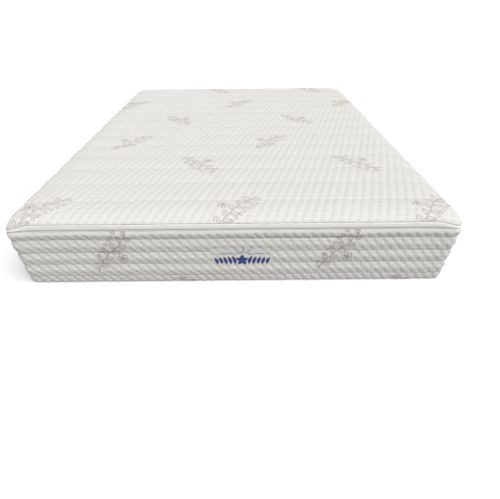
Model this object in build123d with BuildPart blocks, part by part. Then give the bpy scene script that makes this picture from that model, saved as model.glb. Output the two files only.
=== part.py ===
from build123d import *
import os

# Pressure relief mattress, foot end towards -Y, lying on Z = 0, origin at the middle of the underside.
# A foam core lies in a quilted cover, and the cover's top zips off. Millimetres.
# Every layer is placed by its inset from the outline (the widest line, which is the lower piping)
# and by its height above the floor.

# ---- driving dimensions --------------------------------------------------------------------------
width = 1524.0
length = 2032.0
height = 270.0
corner_radius = 32.0

# ---- heights of the layers -----------------------------------------------------------------------
base_panel_thickness = 2.5
core_bottom = base_panel_thickness
base_foam_height = 131.0
castellated_height = 50.0
memory_height = 61.0
castellated_bottom = core_bottom + base_foam_height
memory_bottom = castellated_bottom + castellated_height
core_top = memory_bottom + memory_height
border_bottom = 1.0
border_top = 207.0
quilt_bottom = 245.0

# ---- insets from the outline ---------------------------------------------------------------------
border_inset = 1.0
knit_thickness = 2.0
wadding_inset = border_inset + knit_thickness
backing_inset = 18.0
backing_thickness = 1.0
border_lip_inset = 15.7
binding_inset = 16.0
binding_bottom = 0.3
core_inset = 20.0
tuck_radius = 8.0

# ---- quilted top ---------------------------------------------------------------------------------
top_inset = 3.0
top_knit_thickness = 2.5
top_edge_radius = 18.0
top_wall_bottom = 243.5

# ---- pipings and band ----------------------------------------------------------------------------
lower_piping_radius = 4.0
lower_piping_height = border_top + lower_piping_radius
upper_piping_radius = 3.0
upper_piping_inset = 5.5
upper_piping_height = 240.0
band_bottom = 228.0
band_inset = 3.0
band_thickness = 5.0

# ---- zip -----------------------------------------------------------------------------------------
chain_height = 221.5
coil_inset = 8.0
coil_thickness = 2.8
coil_width = 2.9
coil_gap = 1.6
tape_inset = 9.0
tape_thickness = 0.8
running_clearance = 0.4
post_clearance = 0.6
slider_length = 16.0
slider_plate = 1.6
slider_width = 10.4
slider_rest_x = 650.0
stop_length = 3.0
underlap_inset = 14.0
underlap_thickness = 1.0

# ---- pull tab ------------------------------------------------------------------------------------
tab_bar_radius = 0.7
tab_width = 7.0
tab_length = 38.0
tab_window_length = 7.0
tab_window_width = 4.0
bridge_half_span = 5.0
bridge_width = 3.0
bridge_thickness = 1.2
bridge_reach = 3.5
post_length = 6.0
plate_corner_radius = 0.9

# ---- foam core -----------------------------------------------------------------------------------
bolster_width = 75.0
glue_gap = 0.2
castellation_depth = 35.0
castellation_slot = 6.0
castellation_columns = 14
zone_lengths = (560.0, 760.0, 520.0)
zone_rows = (5, 9, 4)

# ---- emblem and label ----------------------------------------------------------------------------
emblem_offset = 25.0
emblem_height = 98.0
emblem_petal = 17.0
emblem_bar_length = 64.0
emblem_bar_rise = 13.0
label_x = -490.0
label_width = 90.0
label_rise = 55.0
trim_thickness = 0.8

os.makedirs("parts", exist_ok=True)


def outline(inset):
    """The mattress outline drawn `inset` inside its widest line, in the current sketch."""
    radius = corner_radius - inset
    RectangleRounded(width - 2 * inset, length - 2 * inset, radius)


def ring(outer_inset, inner_inset, bottom, top):
    """A closed band that follows the outline, between two insets and two heights."""
    with BuildPart() as band_part:
        with BuildSketch(Plane.XY.offset(bottom)):
            outline(outer_inset)
        extrude(amount=top - bottom)
        with BuildSketch(Plane.XY.offset(bottom)):
            outline(inner_inset)
        extrude(amount=top - bottom, mode=Mode.SUBTRACT)
    return band_part


def slab(inset, bottom, top):
    """A flat sheet or block that fills the outline at an inset."""
    with BuildPart() as slab_part:
        with BuildSketch(Plane.XY.offset(bottom)):
            outline(inset)
        extrude(amount=top - bottom)
    return slab_part


def cord_ring(inset, centre_height, radius):
    """A round cord that follows the outline."""
    half_x = width / 2 - inset
    half_y = length / 2 - inset
    turn = corner_radius - inset
    with BuildPart() as cord_part:
        with BuildLine(Plane.XY.offset(centre_height)):
            with BuildSketch(Plane.XY.offset(centre_height), mode=Mode.PRIVATE) as plan:
                RectangleRounded(2 * half_x, 2 * half_y, turn)
            add(plan.sketch.wire().edges())
        with BuildSketch(Plane(origin=(0, -half_y, centre_height), x_dir=(0, 1, 0), z_dir=(1, 0, 0))):
            Circle(radius)
        sweep(transition=Transition.ROUND)
    return cord_part


def block(piece, low, high, mode=Mode.ADD):
    """A plain box between two corners."""
    size = [b - a for a, b in zip(low, high)]
    centre = tuple((a + b) / 2 for a, b in zip(low, high))
    with piece:
        with Locations(centre):
            Box(*size, mode=mode)


def save(piece, name):
    piece.part.label = name
    export_step(piece.part, f"parts/{name}.step")


# ---- foam core -----------------------------------------------------------------------------------
def foam_core():
    """Firm bolsters round a base block, a castellated sheet on it, and memory foam over all."""
    inner_x = width / 2 - core_inset - bolster_width
    inner_y = length / 2 - core_inset - bolster_width
    outer_x = width / 2 - core_inset
    outer_y = length / 2 - core_inset

    for name, side in (("bolster_left", -1), ("bolster_right", 1)):
        with BuildPart() as bolster:
            with BuildSketch(Plane.XY.offset(core_bottom)):
                outline(core_inset)
                with Locations((-side * bolster_width, 0)):
                    Rectangle(2 * outer_x, 2 * outer_y, mode=Mode.SUBTRACT)
            extrude(amount=memory_bottom - core_bottom)
        save(bolster, name)

    for name, side in (("bolster_foot", -1), ("bolster_head", 1)):
        with BuildPart() as bolster:
            with BuildSketch(Plane.XY.offset(core_bottom)):
                with Locations((0, side * (inner_y + bolster_width / 2))):
                    Rectangle(2 * (inner_x - glue_gap), bolster_width)
            extrude(amount=memory_bottom - core_bottom)
        save(bolster, name)

    block_x = inner_x - glue_gap
    block_y = inner_y - glue_gap
    with BuildPart() as base_foam:
        with BuildSketch(Plane.XY.offset(core_bottom)):
            Rectangle(2 * block_x, 2 * block_y)
        extrude(amount=base_foam_height)
    save(base_foam, "base_foam")

    # the sheet's cells are cut from above, in three zones with their own row spacing
    with BuildPart() as castellated_foam:
        with BuildSketch(Plane.XY.offset(castellated_bottom)):
            Rectangle(2 * block_x, 2 * block_y)
        extrude(amount=castellated_height)
        with BuildSketch(Plane.XY.offset(memory_bottom)):
            column_pitch = 2 * block_x / castellation_columns
            with GridLocations(column_pitch, 1, castellation_columns - 1, 1):
                Rectangle(castellation_slot, 2 * block_y)
            zone_start = -block_y
            for zone_length, rows in zip(zone_lengths, zone_rows):
                row_pitch = zone_length / rows
                for row in range(1, rows + 1):
                    slot_y = zone_start + row * row_pitch
                    if slot_y < block_y - castellation_slot:
                        with Locations((0, slot_y)):
                            Rectangle(2 * block_x, castellation_slot)
                zone_start += zone_length
        extrude(amount=-castellation_depth, mode=Mode.SUBTRACT)
    save(castellated_foam, "castellated_foam")

    save(slab(core_inset, memory_bottom, core_top), "memory_foam_top")


# ---- lower cover ---------------------------------------------------------------------------------
def tucked_ring(outer_inset, inner_inset, bottom, edge_radius):
    """A border layer whose lower edge is rounded under, open in the middle."""
    with BuildPart() as layer:
        with BuildSketch(Plane.XY.offset(bottom)):
            outline(outer_inset)
        extrude(amount=border_top - bottom)
        fillet(layer.faces().sort_by(Axis.Z)[0].edges(), radius=edge_radius)
        with BuildSketch(Plane.XY.offset(bottom)):
            outline(inner_inset)
        extrude(amount=border_top - bottom, mode=Mode.SUBTRACT)
    return layer


def lower_cover():
    """Quilted border and base panel, with the lower half of the zip along the border's top."""
    with BuildPart() as border_face_knit:
        with BuildSketch(Plane.XY.offset(border_bottom)):
            outline(border_inset)
        extrude(amount=border_top - border_bottom)
        fillet(border_face_knit.faces().sort_by(Axis.Z)[0].edges(), radius=tuck_radius)
        offset(amount=-knit_thickness, openings=border_face_knit.faces().sort_by(Axis.Z)[-1])
        with BuildSketch(Plane.XY.offset(border_bottom)):
            outline(border_lip_inset)
        extrude(amount=border_top - border_bottom, mode=Mode.SUBTRACT)
    save(border_face_knit, "border_face_knit")

    wadding_bottom = border_bottom + knit_thickness
    wadding = tucked_ring(wadding_inset, backing_inset, wadding_bottom, tuck_radius - knit_thickness)
    save(wadding, "border_wadding")
    backing_back = backing_inset + backing_thickness
    backing = ring(backing_inset, backing_back, wadding_bottom, border_top)
    save(backing, "border_backing")
    save(slab(core_inset, 0, base_panel_thickness), "base_panel")
    save(ring(binding_inset, core_inset, binding_bottom, wadding_bottom), "bottom_binding")
    save(cord_ring(lower_piping_radius, lower_piping_height, lower_piping_radius), "lower_piping")
    underlap_back = underlap_inset + underlap_thickness
    save(ring(underlap_inset, underlap_back, border_top, core_top), "zip_underlap")


# ---- quilted top ---------------------------------------------------------------------------------
def top_cover():
    """The quilted top, its piping, the plain band under it and the upper half of the zip."""
    with BuildPart() as top_face_knit:
        with BuildSketch(Plane.XY.offset(top_wall_bottom)):
            outline(top_inset)
        extrude(amount=height - top_wall_bottom)
        fillet(top_face_knit.faces().sort_by(Axis.Z)[-1].edges(), radius=top_edge_radius)
        offset(amount=-top_knit_thickness, openings=top_face_knit.faces().sort_by(Axis.Z)[0])
    save(top_face_knit, "top_face_knit")

    wadding_top = height - top_knit_thickness
    filling_inset = top_inset + top_knit_thickness
    with BuildPart() as top_wadding:
        with BuildSketch(Plane.XY.offset(quilt_bottom + backing_thickness)):
            outline(filling_inset)
        extrude(amount=wadding_top - quilt_bottom - backing_thickness)
        fillet(
            top_wadding.faces().sort_by(Axis.Z)[-1].edges(),
            radius=top_edge_radius - top_knit_thickness,
        )
    save(top_wadding, "top_wadding")

    save(slab(filling_inset, quilt_bottom, quilt_bottom + backing_thickness), "top_backing")
    save(cord_ring(upper_piping_inset, upper_piping_height, upper_piping_radius), "upper_piping")
    band_top = upper_piping_height - upper_piping_radius
    save(ring(band_inset, band_inset + band_thickness, band_bottom, band_top), "band")


# ---- zip -----------------------------------------------------------------------------------------
def zip_chain():
    """Two woven tapes with a coil each, and the moulded stops at the ends of the coils."""
    head_y = length / 2
    coil_back = coil_inset + coil_thickness
    lower_coil_top = chain_height - coil_gap / 2
    upper_coil_bottom = chain_height + coil_gap / 2
    lower_coil_bottom = lower_coil_top - coil_width
    upper_coil_top = upper_coil_bottom + coil_width
    # the coils end at the parked slider, the upper one short of it, and start again past it
    parked_left = slider_rest_x - slider_length / 2
    parked_right = slider_rest_x + slider_length / 2
    restart_x = parked_right + 6 * stop_length
    rows = (
        ("lower", lower_coil_bottom, lower_coil_top, parked_right + stop_length),
        ("upper", upper_coil_bottom, upper_coil_top, parked_left - stop_length),
    )
    for name, bottom, top, end_x in rows:
        coil = ring(coil_inset, coil_back, bottom, top)
        gap_low = (end_x, head_y - coil_back - 1, bottom - 1)
        gap_high = (restart_x, head_y - coil_inset + 1, top + 1)
        block(coil, gap_low, gap_high, Mode.SUBTRACT)
        save(coil, f"{name}_zip_coil")
        with BuildPart() as stops:
            stop_y = head_y - coil_inset - coil_thickness / 2
            stop_z = (bottom + top) / 2
            for stop_x in (end_x + stop_length / 2, restart_x - stop_length / 2):
                with Locations((stop_x, stop_y, stop_z)):
                    Box(stop_length, coil_thickness, coil_width)
        save(stops, f"{name}_zip_stops")

    tape_back = tape_inset + tape_thickness
    lower_tape = ring(tape_inset, tape_back, border_top, lower_coil_bottom)
    save(lower_tape, "lower_zip_tape")
    upper_tape = ring(tape_inset, tape_back, upper_coil_top, quilt_bottom)
    save(upper_tape, "upper_zip_tape")


def zip_slider():
    """Slider of two plates on a thin post, with guide lips, and its bridge for the pull tab."""
    head_y = length / 2
    front_y = head_y - coil_inset + running_clearance
    back_y = head_y - coil_inset - coil_thickness - running_clearance
    low_z = chain_height - slider_width / 2
    high_z = chain_height + slider_width / 2
    left_x = slider_rest_x - slider_length / 2
    right_x = slider_rest_x + slider_length / 2
    lip = slider_width / 2 - coil_width - coil_gap / 2 - running_clearance
    tape_front_y = head_y - tape_inset + running_clearance
    tape_back_y = head_y - tape_inset - tape_thickness - running_clearance
    post_half = (coil_gap - post_clearance) / 2

    with BuildPart() as slider_body:
        for plate_y in (front_y + slider_plate / 2, back_y - slider_plate / 2):
            with Locations((slider_rest_x, plate_y, chain_height)):
                Box(slider_length, slider_plate, slider_width)
    for lip_low, lip_high in ((low_z, low_z + lip), (high_z - lip, high_z)):
        block(slider_body, (left_x, tape_front_y, lip_low), (right_x, front_y, lip_high))
        block(slider_body, (left_x, back_y, lip_low), (right_x, tape_back_y, lip_high))
    post_low = (slider_rest_x - post_length / 2, back_y, chain_height - post_half)
    post_high = (slider_rest_x + post_length / 2, front_y, chain_height + post_half)
    block(slider_body, post_low, post_high)

    plate_face_y = front_y + slider_plate
    with slider_body:
        corner_groups = slider_body.edges().filter_by(Axis.Y).group_by(Axis.Z)
        fillet(corner_groups[0] + corner_groups[-1], radius=plate_corner_radius)
        with BuildSketch(Plane.XY.offset(chain_height - bridge_width / 2)):
            with Locations((slider_rest_x, plate_face_y + bridge_reach / 2)):
                Rectangle(2 * bridge_half_span, bridge_reach)
            with Locations((slider_rest_x, plate_face_y + (bridge_reach - bridge_thickness) / 2)):
                Rectangle(
                    2 * (bridge_half_span - bridge_thickness),
                    bridge_reach - bridge_thickness,
                    mode=Mode.SUBTRACT,
                )
        extrude(amount=bridge_width)
    save(slider_body, "slider_body")
    return plate_face_y


def pull_tab(plate_face_y):
    """Flat tab with a window for the bridge, its end bar turning between bridge and plate."""
    axis_y = plate_face_y + (bridge_reach - bridge_thickness) / 2
    bar_low = chain_height - tab_width / 2
    with BuildPart() as tab:
        with BuildSketch(Plane.XY.offset(bar_low)):
            with Locations((slider_rest_x, axis_y)):
                Circle(tab_bar_radius)
        extrude(amount=tab_width)
        with BuildSketch(Plane.XZ.offset(-axis_y - tab_bar_radius)):
            with Locations((slider_rest_x - tab_length / 2, chain_height)):
                Rectangle(tab_length, tab_width)
            with Locations((slider_rest_x - tab_window_length / 2, chain_height)):
                Rectangle(tab_window_length, tab_window_width, mode=Mode.SUBTRACT)
        extrude(amount=2 * tab_bar_radius)
        fillet(tab.edges().filter_by(Axis.Y).group_by(Axis.X)[0], radius=tab_width / 2 - 0.5)
    save(tab, "pull_tab")


# ---- trim ----------------------------------------------------------------------------------------
def trim():
    """Embroidered ornament near the middle of the foot end, and a blank label at the head end."""
    foot_y = -length / 2 + border_inset
    with BuildPart() as front_emblem:
        with BuildSketch(Plane.XZ.offset(-foot_y)):
            with Locations((emblem_offset, emblem_height)):
                with PolarLocations(emblem_petal, 4):
                    Circle(emblem_petal)
                Rectangle(2 * (emblem_petal + emblem_bar_length), emblem_bar_rise / 3)
                with Locations((-emblem_bar_length, 0), (emblem_bar_length, 0)):
                    Ellipse(emblem_bar_length / 2, emblem_bar_rise)
        extrude(amount=trim_thickness)
    save(front_emblem, "front_emblem")

    with BuildPart() as care_label:
        with BuildSketch(Plane.XZ.offset(foot_y - trim_thickness)):
            with Locations((label_x, border_top - label_rise)):
                Rectangle(label_width, label_rise)
        extrude(amount=trim_thickness)
    save(care_label, "care_label")


foam_core()
lower_cover()
top_cover()
zip_chain()
pull_tab(zip_slider())
trim()
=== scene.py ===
import math

import bmesh
import bpy
import numpy as np
from mathutils import Matrix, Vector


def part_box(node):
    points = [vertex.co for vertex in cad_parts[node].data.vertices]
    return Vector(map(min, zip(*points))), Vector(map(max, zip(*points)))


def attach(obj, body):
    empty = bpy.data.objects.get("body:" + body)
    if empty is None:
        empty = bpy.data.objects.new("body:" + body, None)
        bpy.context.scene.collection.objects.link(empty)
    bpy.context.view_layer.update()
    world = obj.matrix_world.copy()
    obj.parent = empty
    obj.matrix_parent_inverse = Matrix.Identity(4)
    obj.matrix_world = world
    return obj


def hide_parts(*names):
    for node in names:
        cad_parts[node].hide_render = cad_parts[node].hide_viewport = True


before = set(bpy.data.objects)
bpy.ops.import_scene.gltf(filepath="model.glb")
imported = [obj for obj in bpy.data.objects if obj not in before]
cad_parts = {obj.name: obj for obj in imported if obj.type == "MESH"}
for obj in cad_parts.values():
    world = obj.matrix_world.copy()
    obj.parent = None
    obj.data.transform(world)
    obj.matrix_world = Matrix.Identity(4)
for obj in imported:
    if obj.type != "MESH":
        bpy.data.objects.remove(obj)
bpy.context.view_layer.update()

# A pressure relief mattress, seen from its foot end: a foam core in a quilted knit cover whose top zips off.
# Metres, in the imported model's frame: +Z up, foot end at -Y. "Inset" is a distance in from the outline,
# the mattress's widest line, and "along" is a distance round that line from the middle of the foot end.

MM = 0.001


def heights(node):
    """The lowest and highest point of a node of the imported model."""
    return tuple(corner[2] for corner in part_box(node))


# ---- sizes taken from the frame ----
HALF_X, HALF_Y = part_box("lower_piping")[1][:2]
HEIGHT = heights("top_face_knit")[1]
LOWER_PIPING_MIDDLE = sum(heights("lower_piping")) / 2
UPPER_PIPING_MIDDLE = sum(heights("upper_piping")) / 2
UPPER_PIPING_LOW = heights("upper_piping")[0]
BAND_HEAD_BOTTOM = heights("band")[0]
BORDER_BOTTOM, BORDER_TOP = heights("border_face_knit")
PAD_UNDERSIDE = heights("top_wadding")[0]
EMBLEM_X, _, EMBLEM_HEIGHT = (sum(ends) / 2 for ends in zip(*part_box("front_emblem")))

# ---- outline ----
CORNER_RADIUS = 32 * MM
STRAIGHT_X = HALF_X - CORNER_RADIUS
STRAIGHT_Y = HALF_Y - CORNER_RADIUS
CORNER_RUN = 0.5 * math.pi * CORNER_RADIUS
RUNS = [STRAIGHT_X, CORNER_RUN, 2 * STRAIGHT_Y, CORNER_RUN, 2 * STRAIGHT_X]
RUNS += [CORNER_RUN, 2 * STRAIGHT_Y, CORNER_RUN, STRAIGHT_X]
RUN_STARTS = np.concatenate([[0.0], np.cumsum(RUNS)])
PERIMETER = RUN_STARTS[-1]
CORNERS = np.array([(1, -1), (1, 1), (-1, 1), (-1, -1)]) * (STRAIGHT_X, STRAIGHT_Y)
# where each run starts on the rectangle through the corners' centres
RUN_ORIGINS = np.array([(0, -STRAIGHT_Y), *np.repeat(CORNERS, 2, axis=0)])

# ---- quilting: rows of pillows between stitched lines, and the knit's pits ----
BORDER_ROW = 50.7 * MM
BORDER_FIRST_LINE = 37.0 * MM
BORDER_PILLOW = 4.4 * MM
BORDER_PIT = 4.8 * MM
BORDER_TAIL = (0.34, 0.60)
BORDER_COLUMNS = 222
BORDER_PIT_SHIFT = 0.27 * BORDER_ROW
TOP_ROW = 147.2 * MM
TOP_LINE_SHIFT = 3.0 * MM
TOP_PILLOW = 3.4 * MM
TOP_PIT = 4.2 * MM
TOP_TAIL = (-0.30, 0.95)
TOP_PIT_ACROSS = 31.0 * MM
TOP_PIT_DOWN = TOP_ROW / 5.5
COLUMN_LEAN = 0.30

# ---- the top's rounded edge, and the corners' dip and flare ----
CROWN_REACH = 110 * MM
TOP_INSET = 3 * MM
TOP_EDGE = 246.5 * MM
TOP_CREST = HEIGHT - 1 * MM
RIM_INSET = 26 * MM
UNDER_RADIUS = 2.5 * MM
DIP_REACH = 75 * MM
DIP = 19 * MM
FLARE_REACH = 80 * MM
FLARE = 9 * MM
FLARE_HEIGHT = 195 * MM
FLARE_SPREAD = 85 * MM


# ==== helpers ====
def smooth_step(value):
    value = np.clip(value, 0, 1)
    return value * value * (3 - 2 * value)


def soft_noise(x, y, seed):
    """Smooth noise from -1 to 1 with features one unit across. It repeats every 64 units."""
    table = np.random.default_rng(seed).uniform(-1, 1, (64, 64))
    column, row = np.floor(x).astype(int), np.floor(y).astype(int)
    fx, fy = smooth_step(x - column), smooth_step(y - row)
    left, right = column % 64, (column + 1) % 64
    low, high = row % 64, (row + 1) % 64
    near = table[low, left] * (1 - fx) + table[low, right] * fx
    far = table[high, left] * (1 - fx) + table[high, right] * fx
    return near * (1 - fy) + far * fy


def outline(along, inset):
    """Points (x, y) on the outline at an inset, and its outward normals."""
    along = np.mod(along, PERIMETER)
    run = np.clip(np.searchsorted(RUN_STARTS, along, side="right") - 1, 0, len(RUNS) - 1)
    into = along - RUN_STARTS[run]
    in_corner = run % 2 == 1
    angle = -math.pi / 2 + math.pi / 2 * (run // 2) + np.where(in_corner, into / CORNER_RADIUS, 0)
    normal = np.stack([np.cos(angle), np.sin(angle)], -1)
    tangent = np.stack([-normal[..., 1], normal[..., 0]], -1)
    straight = np.where(in_corner, 0, into)[..., None]
    reach = CORNER_RADIUS - np.asarray(inset, float)
    return RUN_ORIGINS[run] + tangent * straight + normal * reach[..., None], normal


def from_apex(points):
    """Distance in plan from the outermost point of the nearest corner."""
    reach = np.abs(points[..., :2]) - np.abs(CORNERS[0])
    apex = CORNER_RADIUS * math.sqrt(0.5)
    return np.hypot(reach[..., 0] - apex, reach[..., 1] - apex)


def corner_dip(points):
    """How far the upper piping comes down at each corner, where the band under it runs out."""
    return DIP * np.clip(1 - from_apex(points) / DIP_REACH, 0, 1) ** 1.3


def flared(points):
    """The points with each corner of the cover pushed out, most of it just under the pipings."""
    share = np.clip(1 - from_apex(points) / FLARE_REACH, 0, 1)
    share = FLARE * share * np.exp(-(((points[..., 2] - FLARE_HEIGHT) / FLARE_SPREAD) ** 2))
    moved = np.array(points)
    moved[..., :2] += np.sign(points[..., :2]) * math.sqrt(0.5) * share[..., None]
    return moved


def grid_faces(rows, columns, wrap_rows=False, wrap_columns=False):
    """Quads of a grid of points that are stored row by row."""
    row, column = np.meshgrid(
        np.arange(rows if wrap_rows else rows - 1),
        np.arange(columns if wrap_columns else columns - 1),
        indexing="ij",
    )
    next_row, next_column = (row + 1) % rows, (column + 1) % columns
    corners = [(row, column), (row, next_column), (next_row, next_column), (next_row, column)]
    return np.stack([r * columns + c for r, c in corners], -1).reshape(-1, 4)


def add_object(name, data):
    added = bpy.data.objects.new(name, data)
    bpy.context.scene.collection.objects.link(added)
    return added


def add_piece(name, mesh, body, replaces):
    """A mesh as a piece of the object, moving with its body and standing for some CAD nodes."""
    piece = add_object(name, mesh)
    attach(piece, body)
    if replaces:
        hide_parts(*replaces)
    return piece


def make_piece(name, points, faces, body, material, slot, replaces=(), depth=None):
    """A new mesh as a piece, with an optional 0 to 1 depth of its quilting at each point, which tints the
    knit darker there, partly as painted shade in the hollows.
    """
    mesh = bpy.data.meshes.new(name)
    mesh.from_pydata(np.asarray(points).reshape(-1, 3).tolist(), [], [list(f) for f in faces])
    mesh.shade_smooth()
    mesh.materials.append(material)
    if depth is not None:
        layer = mesh.attributes.new("quilt_shade_depth", "FLOAT", "POINT")
        layer.data.foreach_set("value", np.asarray(depth, np.float32).ravel())
    return add_piece(name, mesh, body, replaces)


def surface_normals(surface, a, b, step=0.6 * MM):
    """Unit normals of a surface(a, b) by central differences."""
    across = surface(a + step, b) - surface(a - step, b)
    along = surface(a, b + step) - surface(a, b - step)
    normals = np.cross(across, along)
    return normals / np.maximum(np.linalg.norm(normals, axis=-1, keepdims=True), 1e-12)


# ==== quilting relief ====
def pits(across, down, pitch_across, pitch_down, tail, columns, seed):
    """The knit's stitched pits, 0 to about 1 deep. Each is long towards its tail, a crease that runs
    from it by `tail` pitches, and a small lip below it stands out. `across` wraps after `columns`."""
    rng = np.random.default_rng(seed)
    strength = rng.uniform(0.75, 1.2, (97, 61))
    shift = rng.uniform(-1, 1, (97, 61, 2)) * 0.045
    tail_length = math.hypot(*tail)
    tail_x, tail_y = tail[0] / tail_length, tail[1] / tail_length
    deep = np.zeros_like(across)
    nearest_row = np.round(down / pitch_down).astype(int)
    for row_step in (-1, 0, 1):
        row = nearest_row + row_step
        row_across = across + COLUMN_LEAN * row * pitch_down
        nearest_column = np.round(row_across / pitch_across).astype(int)
        for column_step in (-1, 0, 1):
            column = nearest_column + column_step
            key = (column % columns) % 97, row % 61
            dx = row_across / pitch_across - column - shift[key][..., 0]
            dy = down / pitch_down - row - shift[key][..., 1]
            lengthways = dx * tail_x + dy * tail_y
            sideways = dx * tail_y - dy * tail_x
            pit = np.exp(-((sideways / 0.16) ** 2) - (lengthways / 0.25) ** 2)
            t = np.clip(lengthways / tail_length, 0, 1)
            off_tail = np.hypot(sideways, lengthways - t * tail_length)
            crease = 0.85 * np.exp(-((off_tail / 0.10) ** 2)) * (1 - t) ** 0.3
            lip = 0.5 * np.exp(-(((dx + 0.12) / 0.20) ** 2) - ((dy - 0.30) / 0.16) ** 2)
            deep += strength[key] * (np.maximum(pit, crease) - lip)
    return deep


def motif_mask(a, b, strokes, reach):
    """1 close to a printed stroke and 0 past `reach` from it, where the knit is flat."""
    mask = np.zeros_like(a)
    for stroke in strokes:
        points = np.asarray(stroke)
        low, high = points.min(0) - reach, points.max(0) + reach
        near = (a > low[0]) & (a < high[0]) & (b > low[1]) & (b < high[1])
        if not near.any():
            continue
        spots = np.stack([a[near], b[near]], -1)[:, None, :] - points[None, ::2, :]
        closest = np.sqrt((spots**2).sum(-1)).min(1)
        mask[near] = np.maximum(mask[near], smooth_step(1.6 * (1 - closest / reach)))
    return mask


# ==== printed sprigs ====
SPRIG_LENGTH = 250 * MM
STEM_WAVE = 0.035


def turned(points, angle):
    """Points (x, y) turned anticlockwise."""
    turn = np.array([(math.cos(angle), math.sin(angle)), (-math.sin(angle), math.cos(angle))])
    return points @ turn


def leaf_outline(base, angle, length, width, points=15):
    """A closed leaf outline, from its base round to its base again."""
    t = np.linspace(0, 1, points)
    half = 0.5 * width * np.sin(math.pi * t) ** 0.85
    side_a = np.stack([t * length, half], -1)
    side_b = np.stack([t * length, -half], -1)[::-1]
    shape = np.concatenate([side_a, side_b[1:]])
    return turned(shape, angle) + base


def sprig():
    """Strokes of a plant sprig about one unit long: a stem with leaves, a flower and a row of buds."""
    stem_x = np.linspace(-0.5, 0.5, 33)
    stem = np.stack([stem_x, STEM_WAVE * np.sin(2 * math.pi * stem_x)], -1)
    strokes = [stem]
    leaf_angle, leaf_length = 0.9, 0.14
    for number, x in enumerate(np.linspace(-0.44, 0.38, 11)):
        side = 1 if number % 2 else -1
        base = np.array([x, STEM_WAVE * math.sin(2 * math.pi * x)])
        strokes.append(leaf_outline(base, side * leaf_angle, leaf_length, 0.075))
        direction = (math.cos(leaf_angle), side * math.sin(leaf_angle))
        strokes.append(base + np.outer(np.linspace(0.1, 0.8, 6), direction) * leaf_length)
    flower = np.array([-0.02, 0.19])
    for petal in range(5):
        angle = 2 * math.pi * petal / 5 + 0.3
        strokes.append(leaf_outline(flower, angle, 0.09, 0.065, 9))
    for x in np.linspace(-0.22, 0.30, 7):
        strokes.append(leaf_outline(np.array([x, -0.165]), 0.9, 0.065, 0.04, 8))
    return strokes


def placed_sprig(centre, angle, size=SPRIG_LENGTH):
    """The sprig's strokes at a centre, turned by an angle, `size` long."""
    return [turned(stroke * size, angle) + centre for stroke in sprig()]


def top_sprigs():
    """The print repeats across and along the top, with four sprigs to a repeat."""
    repeat_x, repeat_y = 670 * MM, 1455 * MM
    first_y = -952 * MM
    repeat = [(0, 0, 48), (-157, 405, -52), (157, 690, 50), (336, 1075, -55)]
    strokes = []
    for x_step in (-2, -1, 0, 1, 2):
        for y_step in (0, 1):
            for x, y, degrees in repeat:
                centre = np.array([x * MM + x_step * repeat_x, first_y + y * MM + y_step * repeat_y])
                if abs(centre[0]) < HALF_X - 0.06 and abs(centre[1]) < HALF_Y - 0.03:
                    strokes += placed_sprig(centre, math.radians(degrees))
    return strokes


def emblem_rest():
    """Lines through the emblem's place, round which the border is sewn nearly flat."""
    middle_down = WALL_TOP - EMBLEM_HEIGHT
    level = EMBLEM_X + np.linspace(-95 * MM, 95 * MM, 40)
    return [np.stack([level, np.full(40, middle_down + step * MM)], -1) for step in (-36, -12, 6)]


def border_sprigs():
    """The border's print, in (along, down): whole sprigs, and some that run under the bottom edge."""
    count = 9
    repeat = PERIMETER / count
    first_along = -31 * MM
    # steps along, distance down, angle and size
    pair = ((0, 83 * MM, -53, 0.88), (0.36, 265 * MM, 40, 0.8))
    strokes = []
    for number in range(count):
        for step, down, degrees, size in pair:
            centre = np.array([first_along + (number - 0.5 + step) * repeat, down])
            strokes += placed_sprig(centre, math.radians(degrees), size * SPRIG_LENGTH)
    return strokes


# ==== the quilted top ====
def crown(inset):
    """Height of the crown as a share of its rise, from 0 at the edge to 1 inside CROWN_REACH."""
    return np.sqrt(np.maximum(1 - (1 - np.clip((inset - TOP_INSET) / CROWN_REACH, 0, 1)) ** 2, 0))


def crowned_height(x, y):
    """The top's height, dropping towards all four sides."""
    drop_x, drop_y = 1 - crown(HALF_X - np.abs(x)), 1 - crown(HALF_Y - np.abs(y))
    drop = np.minimum((drop_x**2.5 + drop_y**2.5) ** 0.4, 1)
    return TOP_EDGE + (TOP_CREST - TOP_EDGE) * (1 - drop)


def edge_table():
    """The rounded edge by arc length from the rim: inset, share of the rim's height, and drop below."""
    rise = TOP_CREST - TOP_EDGE
    start = math.acos(1 - (RIM_INSET - TOP_INSET) / CROWN_REACH)
    phi = np.linspace(start, 0, 60)
    inset = TOP_INSET + CROWN_REACH * (1 - np.cos(phi))
    share = np.sin(phi) / math.sin(start)
    turn = np.linspace(0, math.pi / 2, 8)[1:]
    inset = np.concatenate([inset, TOP_INSET + UNDER_RADIUS * (1 - np.cos(turn))])
    under = np.concatenate([np.zeros(60), UNDER_RADIUS * np.sin(turn)])
    share = np.concatenate([share, np.zeros(7)])
    height = share * rise * math.sin(start) - under
    arc = np.concatenate([[0], np.cumsum(np.hypot(np.diff(inset), np.diff(height)))])
    return arc, inset, share, under


EDGE_ARC, EDGE_POINT_INSET, EDGE_SHARE, EDGE_UNDER = edge_table()
RIM_RADIUS = CORNER_RADIUS - RIM_INSET
UNROLLED_RADIUS = RIM_RADIUS + EDGE_ARC[-1]


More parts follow.
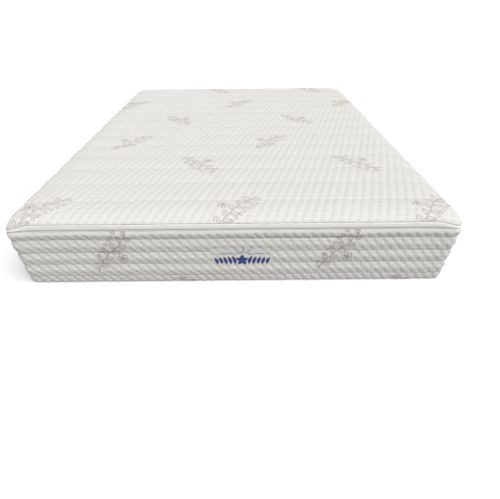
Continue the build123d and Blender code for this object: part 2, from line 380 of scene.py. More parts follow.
def top_base(a, b):
    """The top's smooth surface. (a, b) is its plan, unrolled past the rim."""
    centre = np.stack([np.clip(a, -STRAIGHT_X, STRAIGHT_X), np.clip(b, -STRAIGHT_Y, STRAIGHT_Y)], -1)
    offset = np.stack([a, b], -1) - centre
    radius = np.linalg.norm(offset, axis=-1)
    outward = offset / np.maximum(radius, 1e-9)[..., None]
    past_rim = np.maximum(radius - RIM_RADIUS, 0)
    rim = centre + outward * np.minimum(radius, RIM_RADIUS)[..., None]
    inset = np.interp(past_rim, EDGE_ARC, EDGE_POINT_INSET)
    share = np.interp(past_rim, EDGE_ARC, EDGE_SHARE)
    under = np.interp(past_rim, EDGE_ARC, EDGE_UNDER)
    plan = rim + outward * (RIM_INSET - inset)[..., None]
    height = TOP_EDGE + (crowned_height(rim[..., 0], rim[..., 1]) - TOP_EDGE) * share - under
    height = height - corner_dip(plan) * (1 - smooth_step(share) * 0.5)
    return flared(np.concatenate([plan, height[..., None]], -1))


def top_relief(a, b, strokes):
    """(displacement, depth) of the quilting at each point of the top."""
    wander = 3.0 * MM * soft_noise(a * 3 + 9, b * 3 + 5, 11)
    row_place = (b + TOP_LINE_SHIFT + wander) / TOP_ROW
    from_line = np.abs(row_place - np.round(row_place)) * TOP_ROW
    pillow = TOP_PILLOW * (np.abs(np.sin(math.pi * row_place)) ** 0.7 - 1)
    groove = 1.3 * MM * np.exp(-((from_line / (4.2 * MM)) ** 2))
    mask = motif_mask(a, b, strokes, 13 * MM)
    deep = pits(a, -b, TOP_PIT_ACROSS, TOP_PIT_DOWN, TOP_TAIL, 64, 3) * (1 - 0.9 * mask)
    waves = 0.9 * MM * soft_noise(a * 9, b * 7, 21) + 0.5 * MM * soft_noise(a * 22, b * 30, 22)
    fade = smooth_step((UNROLLED_RADIUS - corner_radius_of(a, b)) / (9 * MM))
    displacement = (pillow - groove - TOP_PIT * deep + waves) * fade
    # this depth darkens the knit in the pits and along the stitched lines: partly its greyer backing thread,
    # partly painted shade in these hollows
    depth = np.clip(deep, 0, 1) * 0.8 + 0.7 * np.exp(-((from_line / (3.0 * MM)) ** 2))
    return displacement, np.clip(depth, 0, 1)


def corner_radius_of(a, b):
    """Distance from the rectangle through the corners' centres."""
    return np.hypot(np.maximum(np.abs(a) - STRAIGHT_X, 0), np.maximum(np.abs(b) - STRAIGHT_Y, 0))


def top_point(a, b, strokes, lift):
    """Points on the quilted top, raised by `lift`."""
    displacement, _ = top_relief(a, b, strokes)
    normals = surface_normals(top_base, a, b)
    return top_base(a, b) + normals * (displacement + lift)[..., None]


def unrolled_grid(columns, rows_straight, rows_corner):
    """A grid of (a, b) that fills the unrolled top, closer together at the rounded ends."""
    turn = np.linspace(0, math.pi / 2, rows_corner + 1)[1:]
    end_b = STRAIGHT_Y + UNROLLED_RADIUS * np.sin(turn)
    end_half = STRAIGHT_X + UNROLLED_RADIUS * np.cos(turn)
    full = STRAIGHT_X + UNROLLED_RADIUS
    middle_b = np.linspace(-STRAIGHT_Y, STRAIGHT_Y, rows_straight)
    b = np.concatenate([-end_b[::-1], middle_b, end_b])
    half = np.concatenate([end_half[::-1], np.full(rows_straight, full), end_half])
    plain = np.linspace(-full, full, columns)
    pinned = STRAIGHT_X - 90 * MM
    squeezed = (np.abs(plain) - pinned).clip(0) / (full - pinned)
    a = np.sign(plain) * (np.minimum(np.abs(plain), pinned) + squeezed * (half[:, None] - pinned))
    return a, np.broadcast_to(b[:, None], a.shape)


def boundary_loop(rows, columns):
    """Indices round the edge of a grid."""
    index = np.arange(rows * columns).reshape(rows, columns)
    return np.concatenate([index[0, :-1], index[:-1, -1], index[-1, :0:-1], index[:0:-1, 0]])


def make_top(materials):
    strokes = top_sprigs()
    a, b = unrolled_grid(*(((258, 336, 18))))
    displacement, depth = top_relief(a, b, strokes)
    points = top_base(a, b) + surface_normals(top_base, a, b) * displacement[..., None]
    points = points.reshape(-1, 3)
    faces = grid_faces(*a.shape).tolist()
    loop = boundary_loop(*a.shape)
    # the pad's flat underside: the edge turned in to a smaller loop, filled with one face
    turned_in = 7 * MM
    inner = points[loop] * (1 - turned_in / HALF_X, 1 - turned_in / HALF_Y, 0) + (0, 0, PAD_UNDERSIDE)
    start, count = len(points), len(loop)
    for i in range(count):
        j = (i + 1) % count
        faces.append([loop[j], loop[i], start + i, start + j])
    faces.append([start + i for i in range(count)][::-1])
    depth = np.concatenate([depth.ravel(), np.zeros(count)])
    pad = make_piece(
        "quilted_top", np.concatenate([points, inner]), faces, "top_cover", materials["knit"], "cover_knit",
        ["top_face_knit", "top_wadding"], depth,
    )
    make_ribbons("top_sprig_print", strokes, lambda a, b, lift: top_point(a, b, strokes, lift),
                 "top_cover", materials["print_top"], inside_top)


def inside_top(stroke):
    """Which points of a stroke lie on the top, short of its outer seam."""
    return corner_radius_of(stroke[:, 0], stroke[:, 1]) < UNROLLED_RADIUS - 6 * MM


# ==== printed lines as thin raised ribbons ====
RIBBON_HALF_WIDTH = 2.3 * MM


def make_ribbons(name, strokes, surface, body, material, inside):
    """Every stroke as a low ribbon of yarn on the surface: its edges in the cloth, its middle proud."""
    all_a, all_b, lifts, faces, total = [], [], [], [], 0
    for stroke in strokes:
        stroke = stroke[inside(stroke)]
        if len(stroke) < 3:
            continue
        along = np.gradient(stroke, axis=0)
        along /= np.maximum(np.linalg.norm(along, axis=1, keepdims=True), 1e-9)
        side = np.stack([-along[:, 1], along[:, 0]], -1) * RIBBON_HALF_WIDTH
        for offset, lift in ((side, -0.5 * MM), (0 * side, 0.7 * MM), (-side, -0.5 * MM)):
            all_a.append(stroke[:, 0] + offset[:, 0])
            all_b.append(stroke[:, 1] + offset[:, 1])
            lifts.append(np.full(len(stroke), lift))
        faces.append(grid_faces(3, len(stroke)) + total)
        total += 3 * len(stroke)
    points = surface(np.concatenate(all_a), np.concatenate(all_b), np.concatenate(lifts))
    make_piece(name, points, np.concatenate(faces).tolist(), body, material, "cover_knit")


# ==== the quilted border ====
BORDER_INSET = 1 * MM
TUCK_RADIUS = 12 * MM
# away from the head end the first roll and the lower piping rise to cover the zip
HEAD_DROP = 10.5 * MM
WALL_TOP = LOWER_PIPING_MIDDLE + 1.5 * MM + HEAD_DROP
WALL_BOTTOM = BORDER_BOTTOM + TUCK_RADIUS
WALL_RUN = WALL_TOP - WALL_BOTTOM
TUCK_RUN = TUCK_RADIUS * math.pi / 2
FLAT_RUN = 6 * MM
SHOULDER, SHOULDER_RUN = 6.5 * MM, 24 * MM
TOE, TOE_RUN = 5.0 * MM, 28 * MM
BORDER_RUN = WALL_RUN + TUCK_RUN + FLAT_RUN
INNER_WALL = 17.6 * MM
GROOVE_WIDTH = 2.4 * MM
FIRST_ROLL_FULLNESS = 2.2
FIRST_ROLL_TURN = 0.82
EMBLEM_FLATNESS = 0.75


def border_section(down):
    """(inset, height) of the border's outer face, by distance down it from its top."""
    tuck = np.clip((down - WALL_RUN) / TUCK_RADIUS, 0, math.pi / 2)
    wall = np.clip(down, None, WALL_RUN)
    flat = np.clip(down - WALL_RUN - TUCK_RUN, 0, None)
    shoulder = SHOULDER * np.clip(1 - down / SHOULDER_RUN, 0, 1) ** 2
    toe = TOE * np.clip(1 - (WALL_RUN - down) / TOE_RUN, 0, 1) ** 2
    inset = BORDER_INSET + shoulder + toe + TUCK_RADIUS * (1 - np.cos(tuck)) + flat
    return inset, WALL_TOP - wall - TUCK_RADIUS * np.sin(tuck)


def border_base(along, down):
    """The border's smooth outer face, lower at the head end, where the slider runs over it."""
    inset, height = border_section(down)
    plan, _ = outline(along, inset)
    height = height - HEAD_DROP * at_head_end(plan) * np.clip(1 - down / BORDER_FIRST_LINE, 0, 1)
    return flared(np.concatenate([plan, height[..., None]], -1))


def border_relief(along, down, strokes):
    """(displacement, depth) of the quilting at each point of the border."""
    turns = along / PERIMETER * 64
    sag = 1.8 * MM * soft_noise(turns, down * 6 + 3, 31)
    row_place = (down - BORDER_FIRST_LINE + sag) / BORDER_ROW
    from_line = np.abs(row_place - np.round(row_place)) * BORDER_ROW
    stitched = np.exp(-((from_line / GROOVE_WIDTH) ** 2))
    # the first roll is fuller, and starts part of the way up its curve, against the piping
    first = row_place < 0
    roll_place = np.where(first, FIRST_ROLL_TURN * row_place * BORDER_ROW / BORDER_FIRST_LINE, row_place)
    fullness = BORDER_PILLOW * np.where(first, FIRST_ROLL_FULLNESS, 1)
    pillow = fullness * (np.abs(np.sin(math.pi * roll_place)) ** 0.65 - 0.6)
    groove = 1.8 * MM * stitched
    from_foot = np.mod(along + PERIMETER / 2, PERIMETER) - PERIMETER / 2
    mask = motif_mask(from_foot, down, strokes, 12 * MM)
    loose = 1 - EMBLEM_FLATNESS * motif_mask(from_foot, down, emblem_rest(), 26 * MM)
    pit_place = down - BORDER_FIRST_LINE + sag - BORDER_PIT_SHIFT
    pitch = PERIMETER / BORDER_COLUMNS
    deep = pits(along, pit_place, pitch, BORDER_ROW / 2, BORDER_TAIL, BORDER_COLUMNS, 5)
    deep = deep * (1 - 0.9 * mask) * smooth_step((down - 8 * MM) / (9 * MM))
    waves = 0.8 * MM * soft_noise(turns * 2, down * 18, 41)
    fade = smooth_step((BORDER_RUN - down) / (9 * MM))
    displacement = ((pillow - groove) * loose - BORDER_PIT * deep + waves) * fade
    # this depth darkens the knit in the pits and along the stitched lines: partly its greyer backing thread,
    # partly painted shade in these hollows
    depth = np.clip(deep, 0, 1) * 0.8 + 0.8 * loose * stitched
    return displacement, np.clip(depth, 0, 1) * fade


def border_point(along, down, strokes, lift):
    """Points on the quilted border, raised by `lift`."""
    displacement, _ = border_relief(along, down, strokes)
    normals = surface_normals(border_base, along, down)
    return border_base(along, down) - normals * (displacement + lift)[..., None]


def make_border(materials):
    strokes = border_sprigs()
    flat_lines = strokes + emblem_rest()
    columns, rows = ((1554, 54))
    along = np.linspace(0, PERIMETER, columns, endpoint=False)
    down = np.linspace(0, BORDER_RUN, rows)
    down, along = np.meshgrid(down, along, indexing="ij")
    displacement, depth = border_relief(along, down, flat_lines)
    normals = surface_normals(border_base, along, down)
    outer = border_base(along, down) - normals * displacement[..., None]
    plan, _ = outline(along[0], INNER_WALL)
    inner = [np.concatenate([plan, np.full((columns, 1), height)], -1)
             for height in (BORDER_BOTTOM + 2.5 * MM, BORDER_TOP - 0.5 * MM)]
    points = np.concatenate([outer, np.array(inner)])
    depth = np.concatenate([depth, np.zeros((2, columns))])
    faces = grid_faces(rows + 2, columns, wrap_rows=True, wrap_columns=True)[:, ::-1]
    border = make_piece(
        "quilted_border", points, faces.tolist(), "mattress_base", materials["knit"], "cover_knit",
        ["border_face_knit", "border_wadding"], depth,
    )
    make_ribbons("border_sprig_print", strokes, lambda a, b, lift: border_point(a, b, flat_lines, lift),
                 "mattress_base", materials["print_border"], inside_border)


def inside_border(stroke):
    """Which points of a stroke lie between the border's two seams."""
    return (stroke[:, 1] > 5 * MM) & (stroke[:, 1] < BORDER_RUN - 8 * MM)


# ==== pipings, band, zip ====
RING_COLUMNS = 900
LOWER_PIPING_INSET = 4 * MM
UPPER_PIPING_INSET = 5.5 * MM
BAND_TIGHT_BOTTOM = 224.8 * MM
BAND_BACK = 6.6 * MM
TAPE_FRONT, TAPE_BACK = 9.0 * MM, 9.8 * MM
UNDERLAP_FRONT, UNDERLAP_BACK = 14 * MM, 15 * MM
BACKING_FRONT, BACKING_BACK = 18 * MM, 19 * MM
BINDING_OUTER, BINDING_MIDDLE, BINDING_INNER = 16.2 * MM, 18 * MM, 19.8 * MM
COIL_INSET = 8 * MM
COIL_DEPTH = 2.8 * MM
COIL_PITCH = 2.2 * MM


def at_head_end(plan):
    """1 along the straight of the head end, where the zip's slider runs, and 0 away from it."""
    return smooth_step((plan[..., 1] - HALF_Y + 40 * MM) / (30 * MM))


def make_cord_ring(name, inset, height, radius, rise, body, material, replaces, dip, seed):
    """A covered cord that follows the outline, slightly uneven. Where the slider doesn't pass it is
    drawn thinner and rides up by `rise`, and at the corners it comes down by `dip` of the dip there."""
    sides = 12
    along = np.linspace(0, PERIMETER, RING_COLUMNS, endpoint=False)
    turns = along / PERIMETER * 64
    at_rest, _ = outline(along, inset)
    free = 1 - at_head_end(at_rest)
    plan, normal = outline(along, inset + 0.1 * rise * free)
    free = 1 - at_head_end(plan)
    middle = height + rise * free - dip * corner_dip(plan) + 0.5 * MM * soft_noise(turns, turns * 0, seed)
    pulled = 0.07 * np.cos(2 * math.pi * BORDER_COLUMNS * along / PERIMETER)
    thick = radius - 0.085 * rise * free
    thick = thick * (1 + 0.05 * soft_noise(turns * 6, turns * 0, seed + 1) + pulled)
    points = []
    for angle in np.linspace(0, 2 * math.pi, sides, endpoint=False):
        out = plan + normal * (thick * math.cos(angle))[:, None]
        points.append(flared(np.concatenate([out, (middle + thick * math.sin(angle))[:, None]], -1)))
    faces = grid_faces(sides, RING_COLUMNS, wrap_rows=True, wrap_columns=True)[:, ::-1]
    cord = make_piece(name, np.array(points), faces.tolist(), body, material, "piping", replaces)


def strip_ring(name, section, body, material, slot, replaces, shape=np.array):
    """A closed ring of cloth: section(along) gives its (inset, height) corners in order."""
    along = np.linspace(0, PERIMETER, RING_COLUMNS, endpoint=False)
    points = []
    for inset, height in section(along):
        plan, _ = outline(along, np.broadcast_to(inset, along.shape))
        points.append(shape(np.concatenate([plan, np.broadcast_to(height, along.shape)[:, None]], -1)))
    faces = grid_faces(len(points), RING_COLUMNS, wrap_rows=True, wrap_columns=True)[:, ::-1]
    return make_piece(name, np.array(points), faces.tolist(), body, material, slot, replaces)


def band_bottom(along):
    """The band's lower edge: close above the lower piping, but clear of the slider at the head."""
    plan, _ = outline(along, 0.0)
    return BAND_TIGHT_BOTTOM + (BAND_HEAD_BOTTOM - BAND_TIGHT_BOTTOM) * at_head_end(plan)


def band_section(along):
    """The band bulges out a little between its two seams, and turns in at them."""
    plan, _ = outline(along, UPPER_PIPING_INSET)
    turns = along / PERIMETER * 64
    top = (UPPER_PIPING_LOW + 3.2 * MM) - corner_dip(plan)
    bottom = np.minimum(band_bottom(along), top - 1.2 * MM)
    ripple = 0.5 * MM * soft_noise(turns * 3, turns * 0, 51)
    levels = [top - (top - bottom) * share for share in (0, 0.08, 0.22, 0.42, 0.62, 0.80, 0.93, 1)]
    bulge = np.array([2.0, 1.6, 1.1, 0.6, 0.1, -0.1, 0.5, 2.8]) * MM
    outer = [(swell - ripple, height) for swell, height in zip(bulge, levels)]
    inner = [(BAND_BACK, height) for height in (levels[-1] + 0.4 * MM, levels[3], levels[0] - 0.4 * MM)]
    return outer + inner


def flat_section(inner, outer, low, high):
    """The section of a plain upright strip, for strip_ring."""
    return lambda along: [(inner, low), (inner, high), (outer, high), (outer, low)]


def make_coil(name, low, high, gap, body, material, replaces):
    """The row of a nylon coil's loops, which stops for the gap at the parked slider."""
    count = int(PERIMETER / COIL_PITCH)
    along = np.linspace(0, PERIMETER, count, endpoint=False)
    plan, normal = outline(along, COIL_INSET + COIL_DEPTH / 2)
    parked = (plan[:, 1] > 0) & (plan[:, 0] > gap[0]) & (plan[:, 0] < gap[1]) & (normal[:, 1] > 0.9)
    plan, normal = plan[~parked], normal[~parked]
    tangent = np.stack([-normal[:, 1], normal[:, 0]], -1)
    wide, deep = 0.40 * COIL_PITCH, COIL_DEPTH / 2
    middle, rise = (low + high) / 2, (high - low) / 2
    # each loop is a short barrel: three six-sided rings, the middle one fuller
    points, faces = [], []
    for level, full in ((-1, 0.72), (0, 1.0), (1, 0.72)):
        for side in range(6):
            angle = math.pi / 3 * side
            shift = tangent * (wide * full * math.cos(angle)) + normal * (deep * full * math.sin(angle))
            height = np.full((len(plan), 1), middle + level * rise)
            points.append(np.concatenate([plan + shift, height], -1))
    points = np.array(points).transpose(1, 0, 2)
    barrel = grid_faces(3, 6, wrap_columns=True)[:, ::-1]
    for number in range(len(plan)):
        first = 18 * number
        faces += (barrel + first).tolist()
        faces.append([first + i for i in range(6)])
        faces.append([first + 12 + i for i in range(5, -1, -1)])
    return make_piece(name, points, faces, body, material, "zip_coil", replaces)


def from_cad(node, name, body, material, bevel):
    """A copy of a CAD node's mesh with its edges rounded, to stand for it."""
    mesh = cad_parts[node].data.copy()
    mesh.name = name
    bm = bmesh.new()
    bm.from_mesh(mesh)
    bmesh.ops.remove_doubles(bm, verts=bm.verts, dist=0.01 * MM)
    bmesh.ops.dissolve_limit(bm, angle_limit=math.radians(2), verts=bm.verts, edges=bm.edges)
    sharp = [e for e in bm.edges if e.is_manifold and e.calc_face_angle() > math.radians(30)]
    bmesh.ops.bevel(bm, geom=sharp, offset=bevel, segments=2, affect="EDGES", profile=0.5,
                    clamp_overlap=True)
    bmesh.ops.triangulate(bm, faces=bm.faces)
    bm.to_mesh(mesh)
    bm.free()
    mesh.shade_smooth()
    mesh.set_sharp_from_angle(angle=math.radians(40))
    mesh.materials.clear()
    mesh.materials.append(material)
    return add_piece(name, mesh, body, [node])


def make_trimmings(materials):
    make_cord_ring("lower_piping_cord", LOWER_PIPING_INSET, LOWER_PIPING_MIDDLE, 4 * MM, 9.5 * MM,
                   "mattress_base", materials["piping"], ["lower_piping"], 0, 61)
    make_cord_ring("upper_piping_cord", UPPER_PIPING_INSET, UPPER_PIPING_MIDDLE, 3.6 * MM, 0,
                   "top_cover", materials["piping"], ["upper_piping"], 1, 71)
    band = strip_ring("plain_band", band_section, "top_cover", materials["band"], "band", ["band"],
                      shape=flared)

    for half, body in (("lower", "mattress_base"), ("upper", "top_cover")):
        low, high = heights(f"{half}_zip_tape")
        tape = strip_ring(f"{half}_zip_tape_cloth", flat_section(TAPE_BACK, TAPE_FRONT, low, high), body,
                          materials["tape"], "zip_tape", [f"{half}_zip_tape"])
        gap = [corner[0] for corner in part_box(f"{half}_zip_stops")]
        make_coil(f"{half}_zip_coil_loops", *heights(f"{half}_zip_coil"), gap, body, materials["coil"],
                  [f"{half}_zip_coil"])
    low, high = heights("zip_underlap")
    underlap = strip_ring("zip_underlap_cloth", flat_section(UNDERLAP_BACK, UNDERLAP_FRONT, low, high),
                          "mattress_base", materials["tape"], "zip_tape", ["zip_underlap"])


def make_core(materials):
    soft = 4 * MM
    for side in ("left", "right", "head", "foot"):
        piece = from_cad(f"bolster_{side}", f"edge_bolster_{side}", "mattress_base",
                         materials["bolster_foam"], soft)
    blocks = (("base_foam", "base_foam_block", "base_foam", soft),
              ("castellated_foam", "castellated_sheet", "castellated_foam", 1.5 * MM),
              ("memory_foam_top", "memory_foam_sheet", "memory_foam", 6 * MM))
    for node, name, material, bevel in blocks:
        piece = from_cad(node, name, "mattress_base", materials[material], bevel)


def closed_sheet(front, back):
    """Points and faces of a thin closed sheet between two grids of points."""
    rows, columns = front.shape[:2]
    size = rows * columns
    grid = grid_faces(rows, columns)
    faces = grid.tolist() + (grid[:, ::-1] + size).tolist()
    loop = boundary_loop(rows, columns)
    for i, start in enumerate(loop):
        end = loop[(i + 1) % len(loop)]
        faces.append([end, start, start + size, end + size])
    return np.concatenate([front.reshape(-1, 3), back.reshape(-1, 3)]), faces


def flat_cloth(name, half_x, half_y, low, high, ripple, body, material, slot, node, seed):
    """A thin closed sheet with rounded corners and a slight ripple."""
    columns, rows = 61, 81
    radius = 40 * MM
    b = np.linspace(-half_y, half_y, rows)
    past = np.maximum(np.abs(b) - (half_y - radius), 0)
    half = half_x - radius + np.sqrt(np.maximum(radius**2 - past**2, 0))
    a = np.linspace(-1, 1, columns)[None, :] * half[:, None]
    b = np.broadcast_to(b[:, None], a.shape)
    wave = ripple * soft_noise(a * 6, b * 6, seed)
    points, faces = closed_sheet(np.stack([a, b, high + wave], -1), np.stack([a, b, low + wave], -1))
    return make_piece(name, points, faces, body, material, slot, [node])


def make_hidden_cloths(materials):
    (_, _, low), (half_x, half_y, high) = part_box("base_panel")
    panel = flat_cloth("woven_base_panel", half_x, half_y, low, high, 0, "mattress_base",
                       materials["base_cloth"], "base_cloth", "base_panel", 81)
    (_, _, low), (half_x, half_y, high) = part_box("top_backing")
    backing = flat_cloth("quilt_backing", half_x, half_y, low, high, 0.3 * MM, "top_cover",
                         materials["scrim"], "scrim", "top_backing", 82)
    low, high = heights("border_backing")
    border_backing = strip_ring("border_quilt_backing", flat_section(BACKING_BACK, BACKING_FRONT, low, high),
                                "mattress_base", materials["scrim"], "scrim", ["border_backing"])
    low, high = heights("bottom_binding")
    folded_tape = [(BINDING_INNER, low), (BINDING_INNER, high), (BINDING_MIDDLE, high + 0.2 * MM),
                   (BINDING_OUTER, high), (BINDING_OUTER, low)]
    binding = strip_ring("bottom_binding_tape", lambda along: folded_tape, "mattress_base",
                         materials["base_cloth"], "base_cloth", ["bottom_binding"])


# ==== emblem and label ====
def satin_leaf(base, angle, length, width, bow=0.0):
    """Points (u, v, rise) and faces of one satin-stitched leaf, ridged by its threads."""
    steps, across = 40, 9
    t = np.linspace(0, 1, steps)[:, None]
    s = np.linspace(-1, 1, across)[None, :]
    half = 0.5 * width * np.sin(math.pi * np.clip(t, 0.02, 0.98)) ** 0.7
    u = t * length + 0 * s
    v = s * half + bow * np.sin(math.pi * t)
    ridge = 0.12 * MM * np.sin(t * length / (1.1 * MM) * math.pi)
    rise = -0.5 * MM + (1.7 * MM + ridge) * np.sqrt(np.maximum(1 - s**2, 0))
    flat = turned(np.stack([u, v], -1), angle) + base
    return np.concatenate([flat, rise[..., None]], -1).reshape(-1, 3), grid_faces(steps, across)


def emblem_shapes():
    """Navy: a five-petalled flower between two rows of leaves. Grey: a low wave with three leaves."""
    navy, grey = [], []
    for petal in range(5):
        navy.append(satin_leaf((0, 0), 0.5 * math.pi + petal * 0.4 * math.pi, 22 * MM, 17 * MM))
    for side in (-1, 1):
        for number in range(5):
            x = side * (27 + 16 * number) * MM
            lean = math.pi / 2 - side * 0.3
            size = (37 - 1.8 * number) * MM
            navy.append(satin_leaf((x - side * 4 * MM, -18 * MM), lean, size, 14 * MM, side * 2 * MM))
    for x, length, bow in ((-92, 74, 5), (-26, 60, 11), (26, 68, 5)):
        grey.append(satin_leaf((x * MM, 24 * MM), 0.0, length * MM, 5.2 * MM, bow * MM))
    for x, turn, length in ((-14, 2.1, 20), (2, 1.35, 24), (17, 0.8, 26)):
        grey.append(satin_leaf((x * MM, 33 * MM), turn, length * MM, 6 * MM))
    return navy, grey


def make_emblem(materials):
    flat_lines = border_sprigs() + emblem_rest()
    for name, shapes, material, replaced in zip(
        ("emblem_flower_and_leaves", "emblem_wave"), emblem_shapes(),
        (materials["navy_thread"], materials["grey_thread"]), (["front_emblem"], []),
    ):
        points, faces, total = [], [], 0
        for shape, shape_faces in shapes:
            points.append(shape)
            faces.append(shape_faces + total)
            total += len(shape)
        flat = np.concatenate(points)
        across, down = EMBLEM_X + flat[:, 0], WALL_TOP - EMBLEM_HEIGHT - flat[:, 1]
        placed = border_point(across, down, flat_lines, flat[:, 2])
        make_piece(name, placed, np.concatenate(faces).tolist(), "mattress_base", material,
                   "emblem_thread", replaced)


def make_label(materials):
    """A blank woven label, hemmed, sewn flat on the head end and curling slightly off it."""
    (low_x, low_y, low_z), (high_x, high_y, high_z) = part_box("care_label")
    x = np.linspace(low_x, high_x, 31)[None, :]
    z = np.linspace(high_z, low_z, 21)[:, None]
    hang = (high_z - z) / (high_z - low_z)
    curl = 2.2 * MM * hang**2 * (1 + 0.4 * np.sin((x - low_x) * 60))
    from_edge = np.minimum(np.minimum(x - low_x, high_x - x), np.minimum(high_z - z, z - low_z))
    hem = 0.25 * MM * (from_edge < 3.2 * MM)
    front = np.stack([x + 0 * z, high_y + curl + hem, z + 0 * x], -1)
    back = np.stack([x + 0 * z, low_y + curl * 0.98, z + 0 * x], -1)
    label = make_piece("blank_label", *closed_sheet(front, back), "mattress_base", materials["label"],
                       "label", ["care_label"])


# ==== materials ====
class Shader:
    """Builds one procedural material on the object's own coordinates."""

    def __init__(self, name, colour, roughness):
        self.material = bpy.data.materials.new(name)
        self.material.use_nodes = True
        self.nodes = self.material.node_tree.nodes
        self.links = self.material.node_tree.links
        self.principled = self.nodes["Principled BSDF"]
        self.principled.inputs["Base Color"].default_value = (*colour, 1)
        self.principled.inputs["Roughness"].default_value = roughness
        self.colour = (*colour, 1)
        self.place = self.nodes.new("ShaderNodeTexCoord").outputs["Object"]

    def texture(self, kind, **inputs):
        """A texture node's first output. `stretch` scales its coordinates."""
        node = self.nodes.new(f"ShaderNodeTex{kind}")
        stretch = inputs.pop("stretch", None)
        place = self.place
        if stretch:
            mapping = self.nodes.new("ShaderNodeMapping")
            mapping.inputs["Scale"].default_value = stretch
            self.links.new(place, mapping.inputs["Vector"])
            place = mapping.outputs["Vector"]
        self.links.new(place, node.inputs["Vector"])
        for name, value in inputs.items():
            node.inputs[name].default_value = value
        return node.outputs[0]

    def scaled(self, value, low, high):
        """A 0 to 1 value spread over a range."""
        node = self.nodes.new("ShaderNodeMapRange")
        node.inputs["To Min"].default_value = low
        node.inputs["To Max"].default_value = high
        self.links.new(value, node.inputs["Value"])
        return node.outputs["Result"]

    def tint(self, factor, colour):
        """Mixes the base colour towards another by a factor."""
        node = self.nodes.new("ShaderNodeMix")
        node.data_type = "RGBA"
        socket = self.principled.inputs["Base Color"]
        self.links.new(factor, node.inputs["Factor"])
        if socket.is_linked:
            self.links.new(socket.links[0].from_socket, node.inputs["A"])
        else:
            node.inputs["A"].default_value = self.colour
        node.inputs["B"].default_value = (*colour, 1)
        self.links.new(node.outputs["Result"], socket)

    def bump(self, height, strength, distance):
        node = self.nodes.new("ShaderNodeBump")
        node.inputs["Strength"].default_value = strength
        node.inputs["Distance"].default_value = distance
        socket = self.principled.inputs["Normal"]
        if socket.is_linked:
            self.links.new(socket.links[0].from_socket, node.inputs["Normal"])
        self.links.new(height, node.inputs["Height"])
        self.links.new(node.outputs["Normal"], socket)

    def attribute(self, name):
        node = self.nodes.new("ShaderNodeAttribute")
        node.attribute_name = name
        return node.outputs["Fac"]

    def set(self, **values):
        for name, value in values.items():
            self.principled.inputs[name.replace("_", " ")].default_value = value


def knit_material(name, colour, shade, loop_size=1.7 * MM):
    """Jacquard knit: fine loops, faint unevenness, and a greyer tone in the stitched pits and along the
    quilted lines, partly the knit's own backing thread and partly painted shade in these hollows.
    """
    shader = Shader(name, colour, 0.88)
    shader.set(Sheen_Weight=0.25, Sheen_Roughness=0.5, Specular_IOR_Level=0.25)
    shader.tint(shader.scaled(shader.texture("Noise", Scale=5.0, Detail=3.0), 0.0, 0.16), shade)
    # partly painted shade: the quilting's depth tints the knit towards its greyer colour in the pits and
    # stitched lines, partly for the knit's greyer backing thread
    shader.tint(shader.scaled(shader.attribute("quilt_shade_depth"), 0.0, 0.55), shade)
    loops = shader.texture("Voronoi", Scale=1 / loop_size, Randomness=0.35, stretch=(1, 0.75, 0.75))
    shader.tint(shader.scaled(loops, 0.0, 0.12), shade)
    shader.bump(loops, 0.5, 0.5 * MM)
    shader.bump(shader.texture("Noise", Scale=120.0, Detail=2.0), 0.25, 1.0 * MM)
    return shader.material


def cloth_material(name, colour, shade, thread=1.0 * MM, roughness=0.85, weave=0.4):
    """Plain woven cloth, two crossed sets of threads, drawn as a fine pattern of small cells in its colour
    and bump over a mottled tone.
    """
    shader = Shader(name, colour, roughness)
    shader.set(Sheen_Weight=0.2, Specular_IOR_Level=0.3)
    shader.tint(shader.scaled(shader.texture("Noise", Scale=14.0, Detail=3.0), 0.0, 0.3), shade)
    cells = shader.texture("Voronoi", Scale=1 / thread, Randomness=0.15)
    shader.tint(shader.scaled(cells, 0.0, 0.25), shade)
    shader.bump(cells, weave, 0.4 * MM)
    return shader.material


def foam_material(name, colour, shade, pore=2.2 * MM):
    """Open-cell foam: small pores of mixed size, with painted shade in their hollows, and a slightly mottled
    colour.
    """
    shader = Shader(name, colour, 0.95)
    shader.set(Specular_IOR_Level=0.15)
    shader.tint(shader.scaled(shader.texture("Noise", Scale=8.0, Detail=4.0), 0.0, 0.25), shade)
    pores = shader.texture("Voronoi", Scale=1 / pore)
    # painted shade: each pore is darkened towards its middle, where the bump sinks
    shader.tint(shader.scaled(pores, 0.35, 0.0), shade)
    shader.bump(pores, 0.6, 0.8 * MM)
    return shader.material


def metal_material(name):
    """Nickel plating, with a fine casting grain and slightly duller patches."""
    shader = Shader(name, (0.62, 0.61, 0.58), 0.32)
    shader.set(Metallic=1.0)
    grain = shader.texture("Noise", Scale=900.0, Detail=3.0)
    shader.links.new(shader.scaled(grain, 0.25, 0.42), shader.principled.inputs["Roughness"])
    shader.tint(shader.scaled(shader.texture("Noise", Scale=260.0), 0.0, 0.35), (0.45, 0.44, 0.42))
    shader.bump(grain, 0.15, 0.1 * MM)
    return shader.material


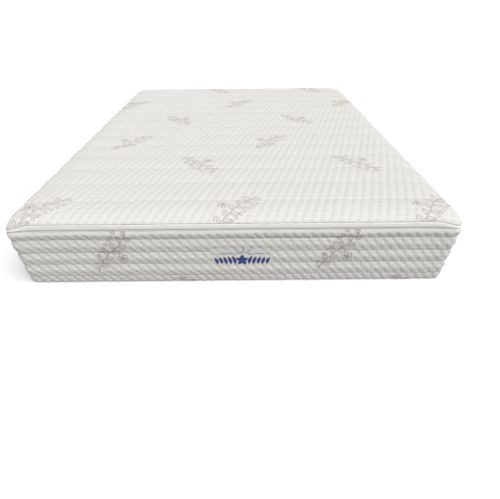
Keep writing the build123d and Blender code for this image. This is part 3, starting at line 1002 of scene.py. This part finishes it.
def all_materials():
    return {
        # the knit's greyer second colour, also used as the painted shade in the quilting's pits and stitched
        # lines
        "knit": knit_material("cream_jacquard_knit", (0.775, 0.768, 0.732), (0.575, 0.54, 0.49)),
        "print_top": cloth_material("print_yarn_top", (0.50, 0.43, 0.385), (0.42, 0.35, 0.305)),
        "print_border": cloth_material("print_yarn_border", (0.43, 0.37, 0.345), (0.33, 0.28, 0.26)),
        "piping": cloth_material("piping_cloth", (0.85, 0.84, 0.795), (0.77, 0.75, 0.69), 0.8 * MM),
        "band": cloth_material("band_cloth", (0.87, 0.86, 0.82), (0.79, 0.775, 0.73), 0.9 * MM),
        "tape": cloth_material("zip_tape_cloth", (0.72, 0.70, 0.65), (0.58, 0.56, 0.50), 0.7 * MM),
        "coil": cloth_material("zip_coil_nylon", (0.74, 0.72, 0.66), (0.60, 0.57, 0.50), 0.5 * MM, 0.4,
                               0.15),
        "scrim": cloth_material("quilt_scrim", (0.80, 0.80, 0.79), (0.66, 0.66, 0.65), 1.6 * MM),
        "base_cloth": cloth_material("base_cloth", (0.66, 0.65, 0.61), (0.50, 0.49, 0.45), 1.4 * MM),
        "label": cloth_material("label_satin", (0.80, 0.80, 0.79), (0.70, 0.70, 0.68), 0.5 * MM, 0.5, 0.2),
        "navy_thread": cloth_material("navy_thread", (0.035, 0.06, 0.24), (0.02, 0.03, 0.14), 0.6 * MM,
                                      0.45),
        "grey_thread": cloth_material("grey_thread", (0.36, 0.41, 0.52), (0.28, 0.32, 0.42), 0.6 * MM, 0.45),
        "memory_foam": foam_material("memory_foam", (0.80, 0.77, 0.62), (0.66, 0.62, 0.46)),
        "castellated_foam": foam_material("castellated_foam", (0.58, 0.68, 0.76), (0.44, 0.55, 0.64)),
        "base_foam": foam_material("base_foam", (0.74, 0.74, 0.71), (0.60, 0.60, 0.57)),
        "bolster_foam": foam_material("bolster_foam", (0.62, 0.62, 0.61), (0.48, 0.48, 0.47)),
        "metal": metal_material("slider_nickel"),
    }


def dress_metal(materials):
    """The slider and its pull keep their CAD shapes."""
    for node in ("slider_body", "pull_tab"):
        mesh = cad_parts[node].data
        mesh.materials.clear()
        mesh.materials.append(materials["metal"])


def dress_stops(materials):
    for half, body in (("lower", "mattress_base"), ("upper", "top_cover")):
        from_cad(f"{half}_zip_stops", f"{half}_zip_end_stops", body, materials["coil"], 0.5 * MM)


# ==== floor, light, camera ====
def make_stage():
    floor_mesh = bpy.data.meshes.new("floor")
    reach = 90.0
    floor_mesh.from_pydata([(-reach, -reach, 0), (reach, -reach, 0), (reach, reach, 0), (-reach, reach, 0)],
                           [], [(0, 1, 2, 3)])
    floor = add_object("floor", floor_mesh)
    floor.location.z = -0.5 * MM
    shader = Shader("floor_white", (0.93, 0.93, 0.93), 0.9)
    shader.set(Specular_IOR_Level=0.0, Emission_Color=(1.0, 1.0, 1.0, 1), Emission_Strength=0.08)
    floor_mesh.materials.append(shader.material)
    floor.visible_diffuse = False

    world = bpy.data.worlds.new("studio")
    world.use_nodes = True
    world.node_tree.nodes["Background"].inputs["Color"].default_value = (1.0, 1.0, 1.0, 1)
    world.node_tree.nodes["Background"].inputs["Strength"].default_value = 0.37
    bpy.context.scene.world = world

    light = bpy.data.lights.new("softbox", "SUN")
    light.energy = 2.76
    light.angle = math.radians(58)
    # overhead, leaning towards the foot end and to the right
    add_object("softbox", light).rotation_euler = (math.radians(24), math.radians(24), 0)
    bpy.context.scene.view_settings.view_transform = "Standard"


def make_camera():
    """A wide lens above the foot end, looking down along the mattress."""
    pitch, yaw, roll = (math.radians(angle) for angle in (37.18, 0.20, -0.43))
    level_right = np.array([math.cos(yaw), -math.sin(yaw), 0])
    level_ahead = np.array([math.sin(yaw), math.cos(yaw), 0])
    ahead = math.cos(pitch) * level_ahead - math.sin(pitch) * np.array([0, 0, 1])
    up = math.sin(pitch) * level_ahead + math.cos(pitch) * np.array([0, 0, 1])
    right = math.cos(roll) * level_right + math.sin(roll) * up
    up = -math.sin(roll) * level_right + math.cos(roll) * up
    camera_data = bpy.data.cameras.new("camera")
    camera_data.lens = 26.53
    camera_data.sensor_width = 36.0
    camera_data.shift_x = 0.006
    camera_data.shift_y = 0.0405
    camera_data.clip_end = 300.0
    camera = add_object("camera", camera_data)
    eye = (0.038, -HALF_Y - 1.055, HEIGHT + 0.586)
    columns = np.stack([right, up, -ahead], -1)
    camera.matrix_world = Matrix.Translation(eye) @ Matrix(columns.tolist()).to_4x4()
    bpy.context.scene.camera = camera


make_camera()
make_stage()
materials = all_materials()
make_top(materials)
make_border(materials)
make_trimmings(materials)
make_core(materials)
make_hidden_cloths(materials)
make_emblem(materials)
make_label(materials)
dress_metal(materials)
dress_stops(materials)
